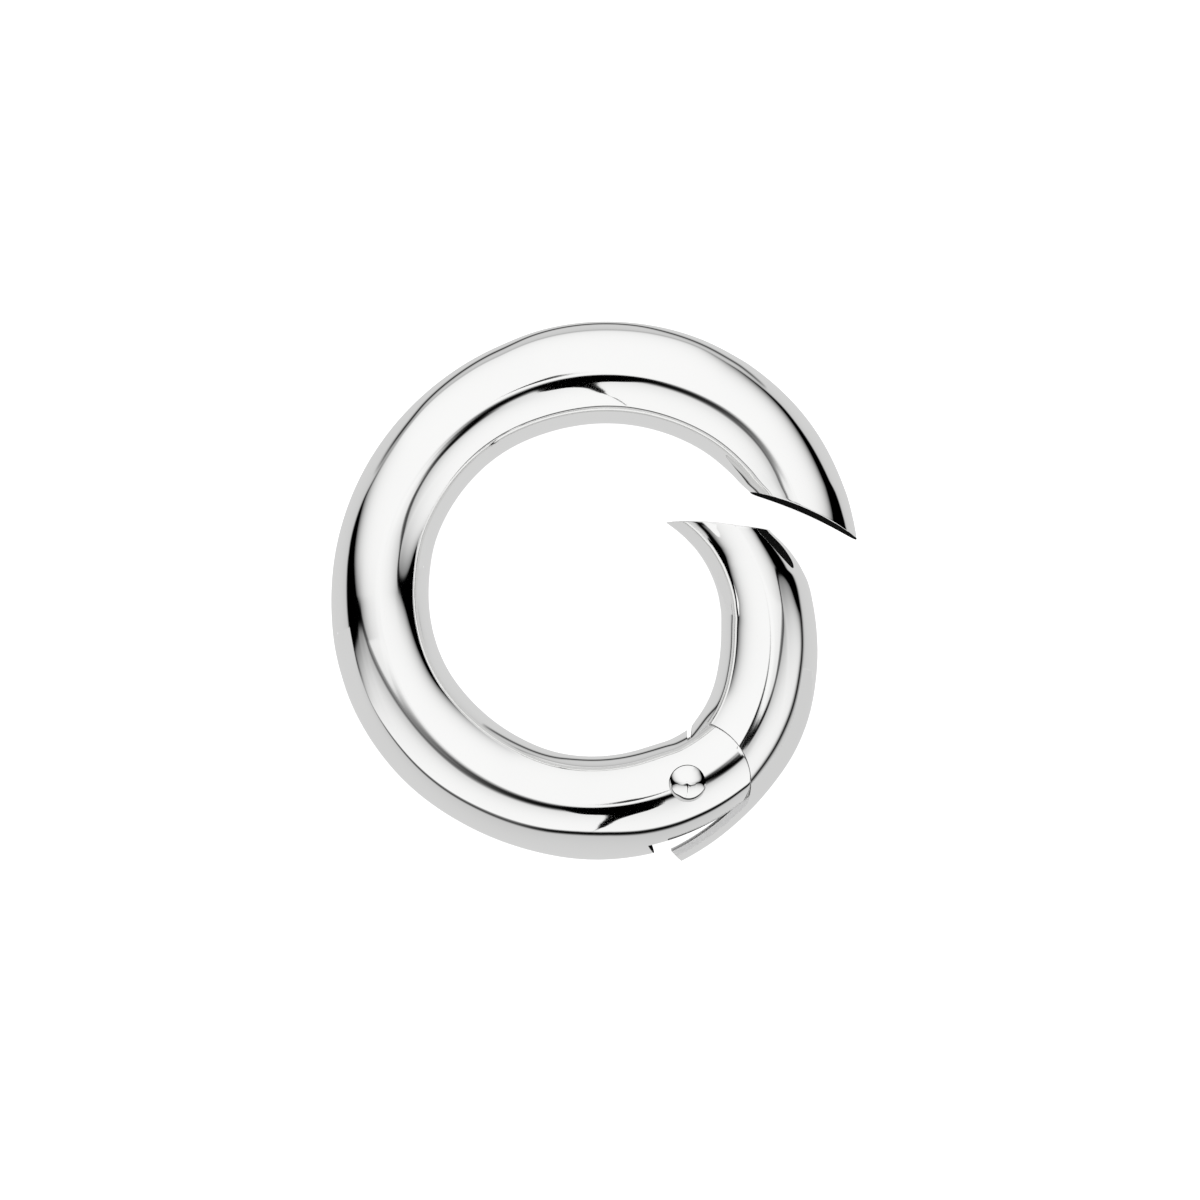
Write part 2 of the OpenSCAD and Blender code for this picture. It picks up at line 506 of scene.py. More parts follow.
def prism(outline, low, high, turn, top_outline=None):
    """A tool: an outline in the slot's frame, pulled up from low to high."""
    form = bmesh.new()
    bottom = [form.verts.new((x, y, low)) for x, y in outline]
    top = [form.verts.new((x, y, high)) for x, y in top_outline or outline]
    form.faces.new(bottom[::-1])
    form.faces.new(top)
    for i, corner in enumerate(bottom):
        j = (i + 1) % len(bottom)
        form.faces.new((corner, bottom[j], top[j], top[i]))
    bmesh.ops.recalc_face_normals(form, faces=form.faces)
    form.transform(at_pin(turn))
    return thing_of("tool", form)


def ball(radius, height):
    """A tool: a ball on the pin's axis, at a height above the middle of the wire."""
    form = bmesh.new()
    bmesh.ops.create_uvsphere(form, u_segments=BALL_STEPS, v_segments=BALL_STEPS // 2, radius=radius)
    form.transform(Matrix.Translation(PIN + Vector((0, 0, height))))
    return thing_of("tool", form)


def steps_between(start, end, steps):
    return [start + (end - start) * i / steps for i in range(steps + 1)]


def arc(radius, start, end, steps):
    """Points of an arc about the pin, from one angle to another."""
    return [(radius * math.cos(t), radius * math.sin(t)) for t in steps_between(start, end, steps)]


def disc(radius, steps):
    """Points of a full circle about the pin."""
    return arc(radius, 0, FULL_TURN * (1 - 1 / steps), steps - 1)


def combine(thing, tool, operation):
    """Cuts the tool from the thing, or joins it on, with faces of cut silver; the tool is used up."""
    for material in thing.data.materials:
        tool.data.materials.append(material)
    for face in tool.data.polygons:
        face.material_index = CUT
    modifier = thing.modifiers.new("work", "BOOLEAN")
    modifier.operation = operation
    modifier.solver = "EXACT"
    modifier.object = tool
    flatten(thing)
    tool_mesh = tool.data
    bpy.data.objects.remove(tool)
    bpy.data.meshes.remove(tool_mesh)


def keep_polish(thing, smooth):
    """Gives what is left of the smooth wire its own normals, so that cuts don't dent the polish."""
    mesh = thing.data
    mesh.shade_smooth()
    mesh.set_sharp_from_angle(angle=SHARP)
    source = [v.co.copy() for v in smooth.vertices]
    faces = [tuple(f.vertices) for f in smooth.polygons]
    normals = [v.vector.copy() for v in smooth.vertex_normals]
    tree = BVHTree.FromPolygons(source, faces)
    found = {}

    def wire_normal(place):
        spot, _, index, _ = tree.find_nearest(place)
        corners = faces[index]
        weights = [1 / ((source[corner] - spot).length + TINY) for corner in corners]
        total = Vector()
        for corner, weight in zip(corners, weights):
            total += normals[corner] * weight
        return total.normalized()

    loops = [Vector()] * len(mesh.loops)
    for face in mesh.polygons:
        if face.material_index != POLISHED:
            continue
        for loop in face.loop_indices:
            vertex = mesh.loops[loop].vertex_index
            if vertex not in found:
                found[vertex] = wire_normal(mesh.vertices[vertex].co)
            loops[loop] = found[vertex]
    mesh.normals_split_custom_set(loops)


def finish_piece(thing, name, body, node):
    """Names a piece, brings it from millimetres to metres and gives it its place in the frame."""
    thing.name = thing.data.name = name
    thing.data.transform(Matrix.Scale(MM, 4))
    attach(thing, body)
    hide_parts(node)


def new_shader(name):
    """An empty material, and a builder for its nodes."""
    material = bpy.data.materials.new(name)
    material.use_nodes = True
    material.node_tree.nodes.clear()
    return material, Builder(material.node_tree)


def silver(name, colour, finish, roughness, seed, shine=1.0):
    """Silver with a faint cloudy polish and very fine marks; without shine it is a near-black, unshining
    surface that paints shade.
    """
    material, b = new_shader(name)
    shift = b.fed("ShaderNodeMapping", {
        "Vector": b.object_place(), "Location": (seed, seed * 0.7, seed * 0.3)})

    def noise(scale, detail):
        return b.fed("ShaderNodeTexNoise", {
            "Vector": shift.outputs[0], "Scale": scale, "Detail": detail}).outputs["Fac"]

    clouds, grain = noise(CLOUD_SCALE, 3.0), noise(GRAIN_SCALE, 2.0)
    mixed = b.fed("ShaderNodeMix", {
        "Factor": b.between(b.scaled(clouds, CLOUD_CONTRAST, CLOUD_START), 0.0, 1.0),
        "A": (*[part * (1 - finish.haze) for part in colour], 1.0), "B": (*colour, 1.0)}, data_type="RGBA")
    marks = b.fed("ShaderNodeBump", {
        "Strength": finish.grain, "Distance": GRAIN_DEPTH * MM, "Height": grain})
    # The clouds are 0.5 on average, which gives the wanted roughness
    b.surface(b.fed("ShaderNodeBsdfPrincipled", {
        "Base Color": mixed.outputs["Result"], "Metallic": shine, "Specular IOR Level": 0.5 * shine,
        "Roughness": b.scaled(clouds, roughness * 0.5, roughness * 0.75), "Normal": marks.outputs[0]}))
    return material


def finishes(piece, finish, seed):
    """The three materials of a silver piece: polished, cut, and near-black painted shade."""
    return [silver(piece + "_silver", finish.silver, finish, finish.roughness, seed),
            silver(piece + "_cut_silver", finish.cut, finish, finish.cut_roughness, seed),
            silver(piece + "_dark_silver", finish.dark, finish, finish.cut_roughness, seed, 0.0)]


# The light tents as the silver sees them. Angles are in degrees: round the view from the right, or away
# from the camera's direction. An upper panel reaches to the upper rim and the tent to the room rim; a seam
# runs across it from left to right
RING_TENT = {
    "upper rim": [
        (0, 52), (9, 69), (20, 77), (30, 81), (45, 92), (60, 102), (80, 130), (130, 130), (145, 108),
        (157, 90.5), (163, 82.5), (169.5, 74), (175, 65), (180, 57.5), (185, 50), (191, 50), (194, 150),
        (320, 150), (345, 55), (360, 52)],
    "room rim": [
        (0, 92), (10, 101), (20, 97), (30, 93), (45, 97), (60, 100), (75, 107), (90, 105), (120, 104),
        (140, 93), (150, 89), (160, 92), (170, 88), (180, 82), (190, 79), (198, 76), (206, 90),
        (216, 110), (340, 110), (350, 93), (360, 92)],
    "rim line": [
        (0, 1), (40, 1), (50, 0.8), (60, 0.45), (75, 0.25), (130, 0.2), (145, 0.35), (160, 0.9),
        (185, 1), (200, 0.4), (210, 0), (340, 0), (350, 1), (360, 1)],
    "seam": [
        (-90, -19), (-76, -14.5), (-60, -8), (-49, -4.5), (-45, -6), (-32, -10), (-22, -10.8),
        (-12, -10.5), (-6, -9.5), (-3, -9), (0, -8), (3, -8), (5, -9.5), (8, -11), (14, -14),
        (20, -12.5), (35, -10), (51, -2), (84, -18.4), (90, -20)],
    "rim width": 2.8,
    "seam width": [
        (-90, 2.8), (-50, 2.8), (-42, 2), (-24, 2), (-12, 4.6), (-6, 5.8), (0, 5.4), (3, 4.6), (8, 4.2),
        (14, 4.2), (19, 2.4), (90, 2.4)],
    "seam dark": [
        (-90, 1), (-52, 1), (-42, 0.8), (-30, 0.75), (-12, 0.8), (-5, 0.95), (0, 1), (14, 1), (18, 0.9),
        (35, 0.9), (48, 1), (90, 1)],
    "lower start": [
        (-90, 0.02), (-54, 0.05), (-44, 0.4), (-20, 0.62), (20, 0.62), (40, 0.45), (52, 0.05),
        (90, 0.02)],
}
GATE_TENT = {
    "upper rim": [
        (0, 51), (4, 49), (15, 60), (30, 80), (60, 110), (130, 110), (150, 86), (167, 83), (175, 82),
        (185, 77), (192, 68), (200, 68), (212, 150), (335, 150), (349, 60), (355, 54), (360, 51)],
    "room rim": [
        (0, 87), (4, 82), (20, 84), (60, 100), (130, 100), (150, 103), (175, 103), (185, 99), (192, 95),
        (200, 72), (215, 70), (290, 72), (308, 73), (322, 76), (340, 85), (349, 90), (355, 92),
        (360, 87)],
    "rim line": [(0, 1), (200, 1), (215, 0.6), (285, 0.6), (300, 1), (360, 1)],
    "seam": [
        (-90, -27), (-67, -25), (-60, -21), (-50, -12), (-32, -10), (-12, -9.5), (0, -3), (3, -6),
        (8, -11), (14, -14), (20, -12.5), (35, -10), (51, -2), (84, -18.4), (90, -20)],
    "rim width": 4.5,
    "seam width": [(-90, 2.4), (-3, 1.4), (2, 1.4), (5, 1.8), (50, 1.8), (90, 2.4)],
    "seam dark": [
        (-90, 1), (-62, 1), (-54, 0), (-4, 0), (0, 1), (14, 1), (18, 0.85), (35, 0.85), (48, 1), (90, 1)],
    "lower start": [
        (-90, 0.02), (-62, 0.05), (-54, 1), (-4, 1), (0, 0.62), (20, 0.62), (40, 0.45), (52, 0.05),
        (90, 0.02)],
}
# How dark it is beside the seam
SEAM_HALO = [(-90, 0.2), (-16, 0.2), (-7, 0), (6, 0), (14, 0.2), (90, 0.2)]
# A thin dark line through the grey room above the tent, and how dark it is
TOP_LINE = [
    (50, 108), (58, 116), (75, 127), (90, 137), (105, 134), (113, 128), (123, 122), (131, 115),
    (139, 103), (148, 97)]
TOP_LINE_DARK = [(50, 0), (56, 0.85), (75, 0.95), (138, 1), (145, 0.8), (152, 0)]
# The two edges of the dark gap that runs down from the middle between the two lower panels
GAP_LEFT = [
    (-76, -6.8), (-60, -2.6), (-47, 0.4), (-40, 0.7), (-27, 1.3), (-20, 1), (-18.5, 0.2), (-17, -1.2),
    (-13, -1.7), (-8, -1.3), (-4, -0.7), (-1.5, 0.3), (1, 0.3), (4, -1.5), (8, -1.4)]
GAP_RIGHT = [
    (-76, -6.4), (-60, -2.1), (-47, 1), (-44, 1.8), (-40, 2.4), (-30, 3.3), (-24, 4.5), (-20, 6),
    (-16, 5.3), (-12, 4.2), (-6, 2.4), (-3.5, 1), (-1.5, -0.3), (1, -0.3), (4, -0.4), (8, -1.7)]
# Over how many degrees the light rises inside the upper panel's rim, below the seam, inside the lower
# panels' rim and away from the tent in the room
UPPER_FADE = 14.0
LOWER_FADE = 12.0
LOWER_RIM_FADE = 7.0
ROOM_FADE = 10.0
# Share of their light that the lower panels keep at their rim
LOWER_RIM_LIGHT = 0.65
# Widths in degrees of the seam's halo, of the gap's soft edges and of the line through the room
HALO_WIDTH = 8.0
GAP_SOFTNESS = 0.3
TOP_LINE_WIDTH = 5.0
# Light of the grey room and ground at their edge, and how much more there is further off
ROOM_LIGHT = 0.56
ROOM_RISE = 0.12

# Top of the ground that the ring mirrors, and how dark its edge is, in millimetres from left to right
GROUND = [
    (-60, 10.3), (-42, 8.4), (-17, 3.1), (-10, 2.1), (-6.5, 1.5), (-4, 1.25), (-2, 1.15), (0, 1.38),
    (1.3, 1.1), (2.7, 0.9), (5, 0.82), (9, 0.4), (12, 0), (27, 2), (60, 1.5)]
GROUND_DARK = [
    (-60, 0.3), (-15, 0.5), (-8, 0.9), (-3, 0.9), (-1, 1), (8, 1), (12, 0.8), (30, 0.3), (60, 0.3)]
# Width of the ground's dark edge, and over which depth it gets lighter below, in millimetres
GROUND_EDGE = 0.3
GROUND_FADE = 1.0
# What the gate mirrors there instead: a grey up to the first height, and white from the second one on
GATE_GROUND = [(-60, -16), (-24, -6.4), (-13.5, -2.8), (-10.6, -1.3), (-8.6, 2.5), (-8, 15), (60, 15)]
GATE_WHITE = [(-60, 7), (-24, 3.4), (-17, 4), (-12, 15), (60, 16)]
GATE_GREY = 0.66

# Half the floor's width, and the soft lamp's width and place, in metres
FLOOR_HALF = 0.6
LAMP_WIDTH = 0.12
LAMP_PLACE = (0.0, 0.2, 0.16)
# The cards' half width, bottom and top, their rise over the wire's middle, and how far the gate's card
# stands in front of the ring's, in millimetres
CARD_HALF = 60
CARD_LOW = -40
CARD_HIGH = 15
CARD_RISE = 0.9
CARD_STEP = 0.02
# Steps round a tent, and how much larger the gate's tent is, so that the two touch nowhere
TENT_STEPS = 128
GATE_TENT_SIZE = 1.03
# Width of the camera's sensor in millimetres
SENSOR = 36
# Which pieces mirror which tent and card
RING_PIECES = ("polished_ring_body", "polished_hinge_pin")
GATE_PIECES = ("polished_gate",)


def tent_material(name, tent):
    """Light from a white tent: an upper panel, two lower ones, dark gaps between them, and a grey room."""
    material, b = new_shader(name)
    way = b.parts(b.vector("NORMALIZE", b.object_place()))
    tilt = b.times(b.math("ARCCOSINE", way["Z"]), DEGREES)
    turn = b.math("ARCTAN2", way["Y"], way["X"])
    right = b.times(tilt, b.math("COSINE", turn))
    up = b.times(tilt, b.math("SINE", turn))
    turn = b.times(b.math("FRACT", b.scaled(turn, 1 / FULL_TURN, 1.0)), 360.0)

    room_rim, seam = b.line(turn, tent["room rim"]), b.line(right, tent["seam"])
    to_room = b.less(room_rim, tilt)
    upper = b.fade(b.less(b.line(turn, tent["upper rim"]), tilt), UPPER_FADE)
    start = b.line(right, tent["lower start"])
    lower = b.mix(b.fade(b.less(seam, up), LOWER_FADE), start, 1.0)
    at_rim = b.scaled(b.fade(to_room, LOWER_RIM_FADE), 1 - LOWER_RIM_LIGHT, LOWER_RIM_LIGHT)
    lower = b.times(lower, at_rim)
    panels = b.mix(b.above(up, seam), lower, upper)
    off_seam = b.less(up, seam)
    on_seam = b.mix(b.line(right, SEAM_HALO), b.band(off_seam, b.line(right, tent["seam width"])),
                    b.bump(off_seam, HALO_WIDTH))
    on_seam = b.times(on_seam, b.line(right, tent["seam dark"]))
    panels = b.times(panels, b.rest(on_seam))

    def past_edge(distance):
        """From -0.5 to 0.5 across one of the gap's edges."""
        return b.between(b.over(distance, GAP_SOFTNESS), -0.5, 0.5)

    left_of_gap = past_edge(b.less(b.line(up, GAP_LEFT), right))
    right_of_gap = past_edge(b.less(right, b.line(up, GAP_RIGHT)))
    beside_gap = b.between(b.plus(b.most(left_of_gap, right_of_gap), 0.5), 0.0, 1.0)
    gap_start, gap_end = GAP_LEFT[0][0], GAP_LEFT[-1][0]
    off_middle = b.math("ABSOLUTE", b.less(up, (gap_start + gap_end) / 2))
    beyond_gap = b.between(b.less(off_middle, (gap_end - gap_start) / 2), 0.0, 1.0)
    panels = b.times(panels, b.most(beside_gap, beyond_gap))

    room = b.scaled(b.fade(b.times(to_room, -1.0), ROOM_FADE), ROOM_RISE, ROOM_LIGHT)
    top_line = b.bump(b.less(tilt, b.line(turn, TOP_LINE)), TOP_LINE_WIDTH)
    top_line = b.times(top_line, b.line(turn, TOP_LINE_DARK))
    room = b.times(room, b.rest(top_line))
    light = b.mix(b.below(to_room, 0.0), panels, room)
    rim_line = b.times(b.bump(to_room, tent["rim width"]), b.line(turn, tent["rim line"]))
    light = b.times(light, b.rest(rim_line))
    b.surface(b.join("ShaderNodeAddShader", b.glow(light), b.node("ShaderNodeBsdfTransparent")))
    return material


def ground_material(name, for_gate):
    """The ground's grey light with a dark line on its top, or what the gate mirrors in its place."""
    material, b = new_shader(name)
    place = b.parts(b.object_place())
    right, height = b.over(place["X"], MM), b.over(place["Z"], MM)
    above = b.less(height, b.line(right, GROUND))
    edge = b.times(b.band(above, GROUND_EDGE), b.line(right, GROUND_DARK))
    solid = b.most(edge, b.below(above, 0.0))
    clear = b.node("ShaderNodeBsdfTransparent")
    if for_gate:
        lit = b.times(b.below(height, b.line(right, GATE_GROUND)), GATE_GREY)
        lit = b.most(lit, b.above(height, b.line(right, GATE_WHITE)))
        both = b.join("ShaderNodeAddShader", clear, b.glow(b.times(solid, lit)))
    else:
        grey = b.scaled(b.fade(b.times(above, -1.0), GROUND_FADE), ROOM_RISE, ROOM_LIGHT)
        both = b.join("ShaderNodeMixShader", clear, b.glow(b.times(grey, b.rest(edge))))
        b.put(both.inputs["Fac"], solid)
    b.surface(both)
    return material


def floor_material(studio):
    """A pale, very lightly clouded board that is lit from above and from below."""
    material, b = new_shader("pale_board")
    noise = b.fed("ShaderNodeTexNoise", {"Vector": b.object_place(), "Scale": BOARD_SCALE})
    mixed = b.fed("ShaderNodeMix", {
        "Factor": noise.outputs["Fac"], "A": (*studio.floor, 1.0),
        "B": (*[part * BOARD_CLOUDS for part in studio.floor], 1.0)}, data_type="RGBA")
    board = b.fed("ShaderNodeBsdfDiffuse", {"Color": mixed.outputs["Result"]})
    b.surface(b.join("ShaderNodeAddShader", board, b.glow(studio.floor_glow)))
    return material


def along(points):
    """The points with their angles made shares of the way from the first to the last."""
    start, end = points[0][0], points[-1][0]
    return [((turn - start) / (end - start), width) for turn, width in points]


# The wire's width on the plan against its nominal one, by the angle round its bends in degrees
RING_OUTER = along([
    (3.5, 1.02), (14, 0.975), (32, 0.942), (60, 0.985), (90, 1.04), (113, 0.975), (150, 0.948),
    (170, 0.96), (198, 1.03), (220, 1.06), (248, 1.02), (280, 1.07), (305, 1.02)])
RING_INNER = along([
    (27.2, 0.84), (35, 0.943), (56, 1.003), (93, 1.028), (132, 0.965), (156, 0.964), (176, 0.997),
    (198, 1), (236, 1.061), (264, 1.03), (288, 1.034), (300, 0.98), (311.3, 0.965)])
GATE_OUTER = along([
    (-70, 0.97), (-50, 0.97), (-36, 0.994), (-20, 1.043), (-4, 0.99), (12, 0.918), (17, 0.9),
    (20, 0.857), (24, 0.752), (28.5, 0.54)])
GATE_INNER = along([
    (-82.5, 1.03), (-36, 1.028), (-20, 0.993), (-8, 1.004), (12, 0.95), (26, 0.924), (32, 0.931),
    (40, 0.966), (49.6, 1.027)])


class CLASP_OT_ring_body(bpy.types.Operator):
    """Makes the ring of round wire with its hollow tip and the two cheeks of the hinge"""
    bl_idname = "clasp.ring_body"
    bl_label = "Ring body"

    def execute(self, context):
        wire, hinge = context.scene.clasp_wire, context.scene.clasp_hinge
        side_bend, top_bend, tip_bend = wire.side_bend / MM, wire.top_bend / MM, wire.tip_bend / MM
        pin_out = side_bend - hinge.pin_in / MM
        side_middle = PIN - Matrix.Rotation(PIN_TURN, 3, "Z") @ Vector((pin_out, 0, 0))
        bent = Matrix.Rotation(TIP_JOIN, 3, "Z")
        top_middle = side_middle + bent @ Vector((0, side_bend - top_bend, 0))
        tip_middle = side_middle + bent @ Vector((top_bend - tip_bend, side_bend - top_bend, 0))
        materials = finishes("ring", context.scene.clasp_finish, 0.011)
        thing = grown("ring_wire", wire_tree("Ring wire", RING_OUTER, RING_INNER), {
            "Wire radius": wire.radius / MM, "Edge": wire.edge / MM, "Start lean": wire.lean / MM,
            "Pin": PIN,
            "Start bend radius": tip_bend, "Start bend middle": tip_middle,
            "Middle bend radius": top_bend, "Middle bend middle": top_middle,
            "End bend radius": side_bend, "End bend middle": side_middle,
            "First join": TIP_JOIN, "Second join": TIP_JOIN + math.pi / 2,
            "Start cut": hinge.mouth / MM, "Start side": 1.0,
            "End cut": hinge.cheek / MM, "End turn": FULL_TURN,
            "Steps along": RING_ROWS, "Steps round": wire.steps}, materials)
        smooth = thing.data.copy()
        half, pocket = hinge.slot / MM / 2, (hinge.eye + hinge.run_gap) / MM

        def slot_outline(depth):
            far = (FAR * math.cos(hinge.skin), FAR * math.sin(hinge.skin))
            return [(-depth, -FAR), (FAR, -FAR), (FAR, 0), far,
                    *arc(pocket, hinge.skin, math.pi, POCKET_STEPS), (-depth, 0)]

        depth = hinge.slot_depth / MM
        deeper = depth + hinge.floor_slant / MM
        slot = prism(slot_outline(depth), -half, half, SLOT_TURN, slot_outline(deeper))
        combine(thing, slot, "DIFFERENCE")
        hole = disc((hinge.shank + hinge.seat_gap) / MM, BORE_STEPS)
        combine(thing, prism(hole, -FAR, FAR, SLOT_TURN), "DIFFERENCE")
        seat = (hinge.head + hinge.seat_gap) / MM
        combine(thing, ball(seat, (wire.radius - hinge.pin_end) / MM), "DIFFERENCE")
        # The tip's end face and the slot's floor get the near-black material as painted shade
        self.paint_shade(thing.data, hinge.mouth / MM, depth)
        keep_polish(thing, smooth)
        bpy.data.meshes.remove(smooth)
        finish_piece(thing, "polished_ring_body", "ring", "ring_body")
        return {"FINISHED"}

    def paint_shade(self, mesh, mouth, depth):
        """Paints shade on the tip's end face and the slot's floor by giving them the near-black material.
        """
        to_slot = at_pin(SLOT_TURN).inverted()
        for face in mesh.polygons:
            centre = to_slot @ face.center
            faces_gate = (to_slot.to_3x3() @ face.normal).x > FACING
            at_tip = centre.x > 0 and abs(centre.xy.length - mouth) < NEAR_TIP
            on_floor = face.material_index == CUT and faces_gate and centre.x < NEAR_FLOOR - depth
            if at_tip or on_floor:
                face.material_index = PAINTED_SHADE


class CLASP_OT_gate(bpy.types.Operator):
    """Makes the gate: its wire arm, and the tongue, eye and tail between the cheeks"""
    bl_idname = "clasp.gate"
    bl_label = "Gate"

    def execute(self, context):
        wire, hinge = context.scene.clasp_wire, context.scene.clasp_hinge
        turn = SLOT_TURN + hinge.open_turn
        bend, radius = wire.gate_bend / MM, wire.radius / MM
        from_pin = Matrix.Rotation(hinge.gate_lean, 3, "Z") @ Vector((0, bend - hinge.gate_in / MM, 0))
        middle = at_pin(turn) @ from_pin
        bends = {f"{end} bend {label}": value for end in ("Start", "Middle", "End")
                 for label, value in (("radius", bend), ("middle", middle))}
        materials = finishes("gate", context.scene.clasp_finish, 0.037)
        thing = grown("gate_wire", wire_tree("Gate wire", GATE_OUTER, GATE_INNER), {
            **bends, "Wire radius": radius, "Edge": wire.edge / MM, "End slant": wire.slant / MM,
            "Pin": PIN, "First join": NO_JOIN, "Second join": NO_JOIN,
            "Start cut": GATE_START, "Start side": -1.0, "End cut": hinge.reach / MM, "End turn": 0.0,
            "Steps along": GATE_ROWS, "Steps round": wire.steps}, materials)
        smooth = thing.data.copy()
        half, shoulder = hinge.tongue / MM / 2, hinge.shoulder / MM
        quarter = math.pi / 2
        back = [(0, FAR), (-FAR_BACK, FAR), (-FAR_BACK, -FAR)]
        sides = [(0, -FAR), *arc(shoulder, -quarter, quarter, SHOULDER_STEPS), *back]
        for low, high in ((half, FAR), (-FAR, -half)):
            combine(thing, prism(sides, low, high, turn), "DIFFERENCE")

        inner = bend + radius - hinge.tail / MM
        root, end = hinge.neck / MM, (hinge.run_gap - hinge.slot_depth) / MM

        def on_tail(x):
            return (x, from_pin.y - math.sqrt(inner ** 2 - (x - from_pin.x) ** 2))

        behind = [(0, 0), *arc(shoulder, hinge.flank, quarter, POCKET_STEPS), *back, (end, -FAR),
                  *[on_tail(x) for x in steps_between(end, root, PROFILE_STEPS)], (root, -root), (0, -root)]
        combine(thing, prism(behind, -half - OVER, half + OVER, turn), "DIFFERENCE")
        eye = disc(hinge.eye / MM, EYE_STEPS)
        combine(thing, prism(eye, SHY - half, half - SHY, turn), "UNION")
        hole = disc((hinge.shank + hinge.run_gap) / MM, BORE_STEPS)
        combine(thing, prism(hole, -FAR, FAR, turn), "DIFFERENCE")
        keep_polish(thing, smooth)
        bpy.data.meshes.remove(smooth)
        finish_piece(thing, "polished_gate", "gate", "gate")
        return {"FINISHED"}


class CLASP_OT_hinge_pin(bpy.types.Operator):
    """Turns the hinge pin: a shank with a chamfered foot and a polished ball head"""
    bl_idname = "clasp.hinge_pin"
    bl_label = "Hinge pin"

    def execute(self, context):
        scene = context.scene
        hinge, wire, finish = scene.clasp_hinge, scene.clasp_wire, scene.clasp_finish
        shank, head = hinge.shank / MM, hinge.head / MM
        centre = (wire.radius - hinge.pin_end) / MM
        ball_turns = steps_between(math.asin(shank / head), math.pi / 2, PROFILE_STEPS)
        dome, top = hinge.dome / MM, hinge.dome_top / MM
        dome_turns = steps_between(math.asin(head / dome), 0.0, PROFILE_STEPS)
        profile = [(0, -centre), (shank - CHAMFER, -centre), (shank, CHAMFER - centre)]
        profile += [(head * math.sin(t), centre - head * math.cos(t)) for t in ball_turns]
        profile += [(dome * math.sin(t), top - dome + dome * math.cos(t)) for t in dome_turns]
        form = bmesh.new()
        line = [form.verts.new((x, 0, z)) for x, z in profile]
        edges = [form.edges.new(pair) for pair in zip(line, line[1:])]
        bmesh.ops.spin(form, geom=line + edges, cent=(0, 0, 0), axis=(0, 0, 1), angle=FULL_TURN,
                       steps=PIN_STEPS, use_merge=True)
        bmesh.ops.remove_doubles(form, verts=form.verts, dist=WELD)
        bmesh.ops.recalc_face_normals(form, faces=form.faces)
        form.transform(Matrix.Translation(PIN))
        thing = thing_of("pin", form)
        thing.data.shade_smooth()
        thing.data.set_sharp_from_angle(angle=SHARP)
        thing.data.materials.append(silver("pin_silver", finish.silver, finish, finish.roughness, 0.071))
        finish_piece(thing, "polished_hinge_pin", "ring", "hinge_pin")
        return {"FINISHED"}


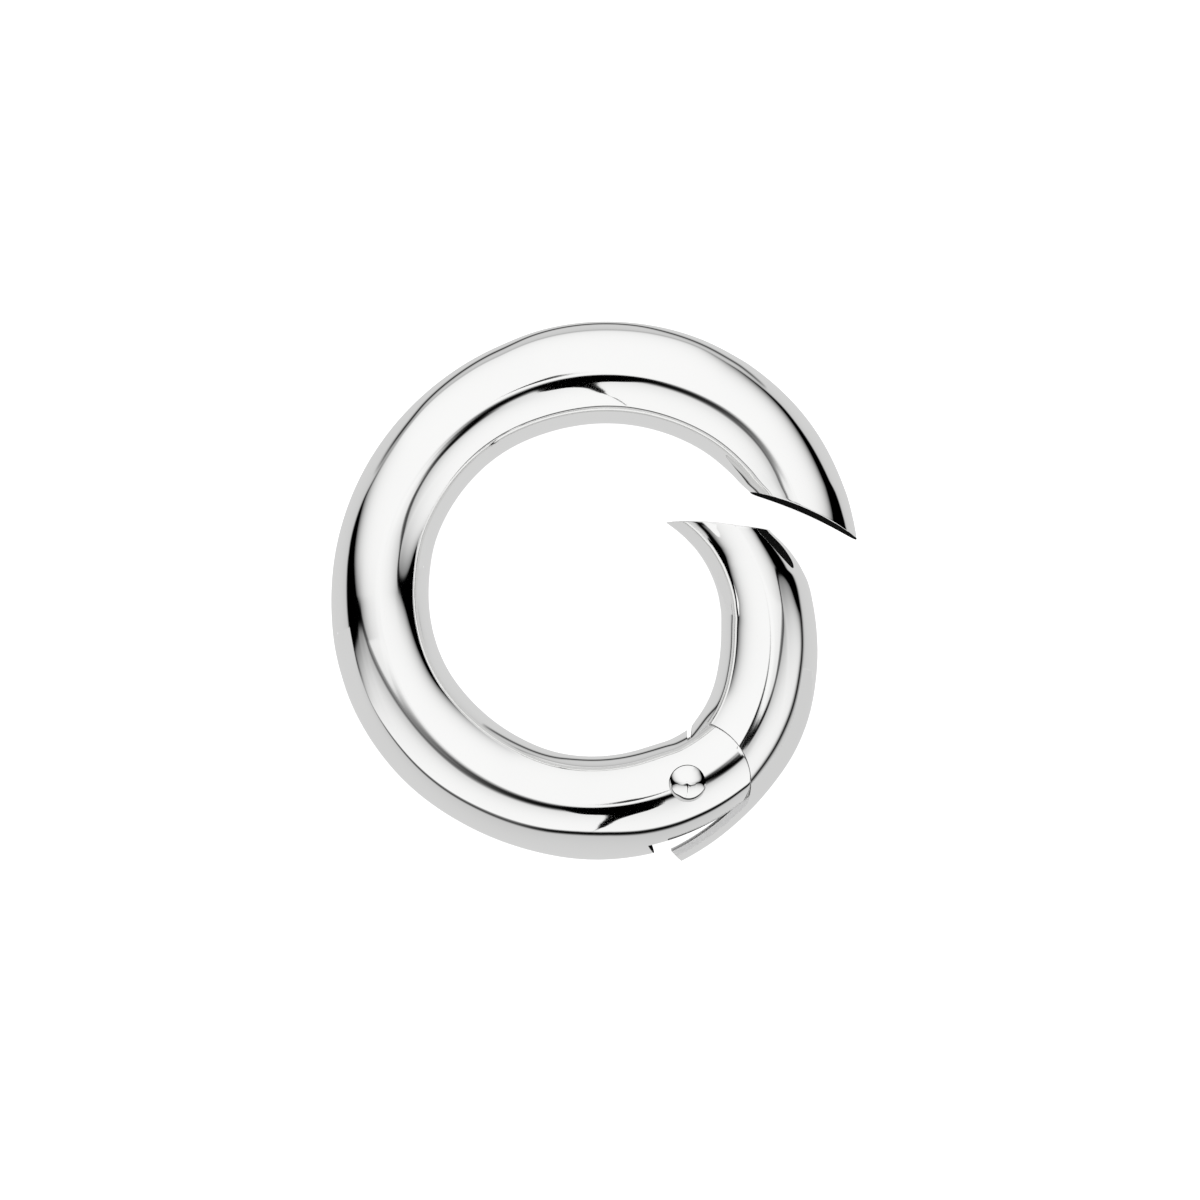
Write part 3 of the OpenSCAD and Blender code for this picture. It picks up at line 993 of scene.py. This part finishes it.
class CLASP_OT_stage(bpy.types.Operator):
    """Makes the pale floor, the soft light, what the silver mirrors, and the camera"""
    bl_idname = "clasp.stage"
    bl_label = "Studio"

    def execute(self, context):
        scene, studio = context.scene, context.scene.clasp_studio
        middle = scene.clasp_wire.radius
        self.add_floor(studio)
        self.add_tents(studio, middle)
        self.add_cards(studio, middle)
        self.add_light(scene, studio)
        self.add_camera(scene, studio, middle)
        return {"FINISHED"}

    def add_floor(self, studio):
        form = bmesh.new()
        bmesh.ops.create_grid(form, x_segments=1, y_segments=1, size=FLOOR_HALF)
        floor = thing_of("floor", form)
        floor.visible_glossy = False
        floor.data.materials.append(floor_material(studio))

    def add_tents(self, studio, middle):
        form = bmesh.new()
        bmesh.ops.create_uvsphere(
            form, u_segments=TENT_STEPS, v_segments=TENT_STEPS // 2, radius=studio.tent)
        place = Matrix.Translation((0, 0, middle))
        self.only_mirrored(form.copy(), tent_material("tent_of_ring", RING_TENT), place, RING_PIECES)
        form.transform(Matrix.Scale(GATE_TENT_SIZE, 4))
        turned = place @ Matrix.Rotation(studio.gate_turn, 4, "Z")
        self.only_mirrored(form, tent_material("tent_of_gate", GATE_TENT), turned, GATE_PIECES)

    def add_cards(self, studio, middle):
        """The ring's card would look black in the gate, so the gate has its own just in front of it."""
        half, low, high = [side * MM for side in (CARD_HALF, CARD_LOW, CARD_HIGH)]
        form = bmesh.new()
        form.faces.new([form.verts.new(spot) for spot in
                        ((half, 0, low), (-half, 0, low), (-half, 0, high), (half, 0, high))])
        place = Matrix.Translation((0, -studio.ground, middle + CARD_RISE * MM))
        self.only_mirrored(form.copy(), ground_material("ground_of_ring", False), place, RING_PIECES)
        nearer = Matrix.Translation((0, CARD_STEP * MM, 0)) @ place
        self.only_mirrored(form, ground_material("ground_of_gate", True), nearer, GATE_PIECES)

    def only_mirrored(self, form, material, place, pieces):
        """Part of the studio that only those pieces mirror, and nothing else sees."""
        thing = thing_of(material.name, form)
        thing.data.materials.append(material)
        thing.matrix_world = place
        for ray in ("camera", "diffuse", "transmission", "volume_scatter", "shadow"):
            setattr(thing, "visible_" + ray, False)
        receivers = bpy.data.collections.new(thing.name + "_pieces")
        for piece in pieces:
            receivers.objects.link(bpy.data.objects[piece])
        thing.light_linking.receiver_collection = receivers

    def add_light(self, scene, studio):
        world = bpy.data.worlds.new("soft_sky")
        scene.world = world
        world.use_nodes = True
        background = world.node_tree.nodes["Background"]
        background.inputs["Color"].default_value = (1.0, 1.0, 1.0, 1.0)
        background.inputs["Strength"].default_value = studio.sky
        world.cycles_visibility.glossy = False
        light = bpy.data.lights.new("soft_key", "AREA")
        light.shape = "DISK"
        light.size = LAMP_WIDTH
        light.energy = studio.key
        lamp = bpy.data.objects.new("soft_key", light)
        lamp.location = LAMP_PLACE
        lamp.rotation_euler = (-Vector(LAMP_PLACE)).to_track_quat("-Z", "Y").to_euler()
        lamp.visible_glossy = False
        scene.collection.objects.link(lamp)

    def add_camera(self, scene, studio, middle):
        lens = bpy.data.cameras.new("camera")
        lens.sensor_width = SENSOR
        lens.lens = SENSOR * studio.distance / studio.view
        lens.clip_start, lens.clip_end = 0.001, 10
        camera = bpy.data.objects.new("camera", lens)
        camera.location = (*studio.look_at, middle + studio.distance)
        scene.collection.objects.link(camera)
        scene.camera = camera
        scene.view_settings.view_transform = "Standard"


class CLASP_PT_panel(bpy.types.Panel):
    """The clasp's pieces and sizes"""
    bl_idname = "CLASP_PT_panel"
    bl_label = "Circle connector"
    bl_space_type = "VIEW_3D"
    bl_region_type = "UI"
    bl_category = "Clasp"

    def draw(self, context):
        for operator in OPERATORS:
            self.layout.operator(operator.bl_idname)
        for name in GROUPS:
            box = self.layout.box()
            group = getattr(context.scene, name)
            for prop in group.bl_rna.properties:
                if prop.identifier not in ("rna_type", "name"):
                    box.prop(group, prop.identifier)


GROUPS = {"clasp_wire": ClaspWire, "clasp_hinge": ClaspHinge, "clasp_finish": ClaspFinish,
          "clasp_studio": ClaspStudio}
OPERATORS = (CLASP_OT_ring_body, CLASP_OT_gate, CLASP_OT_hinge_pin, CLASP_OT_stage)


def register():
    for cls in (*GROUPS.values(), *OPERATORS, CLASP_PT_panel):
        bpy.utils.register_class(cls)
    for name, group in GROUPS.items():
        setattr(bpy.types.Scene, name, bpy.props.PointerProperty(type=group))


def unregister():
    for name in GROUPS:
        delattr(bpy.types.Scene, name)
    for cls in (CLASP_PT_panel, *reversed(OPERATORS), *reversed(GROUPS.values())):
        bpy.utils.unregister_class(cls)


def main():
    register()
    for operator in OPERATORS:
        group, name = operator.bl_idname.split(".")
        if getattr(getattr(bpy.ops, group), name)() != {"FINISHED"}:
            raise RuntimeError(operator.bl_label + " was not made")


if __name__ == "__main__":
    main()
